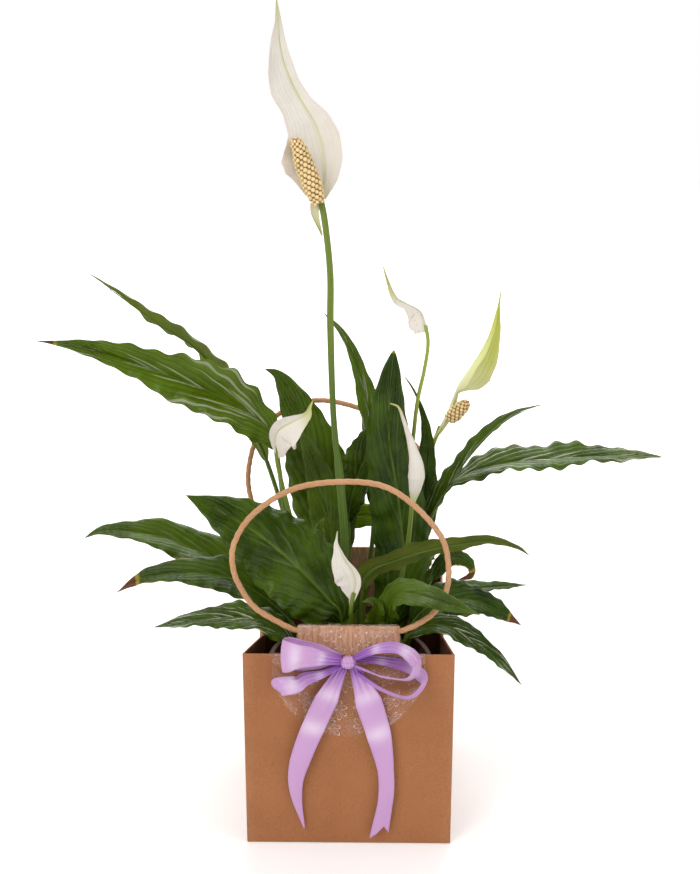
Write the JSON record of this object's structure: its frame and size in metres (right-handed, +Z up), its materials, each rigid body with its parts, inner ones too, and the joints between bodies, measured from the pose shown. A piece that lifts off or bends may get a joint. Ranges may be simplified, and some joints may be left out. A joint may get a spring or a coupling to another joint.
{
  "type": "potted peace lily in a gift bag",
  "caption": "Flowering potted plant with broad arching leaves and white spathes, standing in a paper carrier bag with rope handles, clear film and a satin bow.",
  "frame": {"origin": "centre of the bag's flat bottom, on the surface it stands on", "axes": "+Z up; the bag's bow side faces -Y; +X is to the right when looking at the bow side"},
  "size_m": [0.481, 0.2387, 0.593],
  "materials": {
    "kraft_paper": "matte",
    "paper_rope": "matte",
    "clear_film": "gloss",
    "pot_plastic": "satin",
    "soil": "matte",
    "leaf": "satin",
    "stem": "satin",
    "spathe": "satin",
    "spadix": "matte",
    "ribbon": "satin"
  },
  "bodies": {
    "root": {"gift_bag": "kraft_paper", "handle_tab_front": "kraft_paper", "handle_tab_back": "kraft_paper", "rope_handle_front": "paper_rope", "rope_handle_back": "paper_rope", "wrapping_film": "clear_film", "nursery_pot": "pot_plastic", "potting_soil": "soil", "leaf_left_high": "leaf", "leaf_left_back": "leaf", "leaf_left_front": "leaf", "leaf_left_mid": "leaf", "leaf_left_low": "leaf", "leaf_left_rim": "leaf", "leaf_centre_left": "leaf", "leaf_centre_inner": "leaf", "leaf_centre_mid": "leaf", "leaf_back_arch": "leaf", "leaf_centre_right": "leaf", "leaf_right_inner": "leaf", "leaf_right_arch": "leaf", "leaf_right_long": "leaf", "leaf_right_under": "leaf", "leaf_right_front": "leaf", "leaf_front_dark": "leaf", "leaf_right_brown": "leaf", "leaf_right_mid": "leaf", "leaf_right_droop": "leaf", "leaf_right_small": "leaf", "leaf_right_curled": "leaf", "leaf_back_bright": "leaf", "leaf_young_rolled": "leaf", "leaf_behind_left": "leaf", "leaf_behind_right": "leaf", "stem_tall": "stem", "stem_back_right": "stem", "stem_right": "stem", "stem_left": "stem", "stem_centre": "stem", "stem_front": "stem", "spathe_tall": "spathe", "spathe_back_right": "spathe", "spathe_right": "spathe", "bud_left": "spathe", "bud_centre": "spathe", "bud_front": "spathe", "spadix_tall": "spadix", "spadix_right": "spadix", "ribbon_knot": "ribbon", "ribbon_loop_upper_left": "ribbon", "ribbon_loop_lower_left": "ribbon", "ribbon_loop_upper_right": "ribbon", "ribbon_loop_lower_right": "ribbon", "ribbon_tail_left": "ribbon", "ribbon_tail_right": "ribbon"}
  },
  "joints": []
}
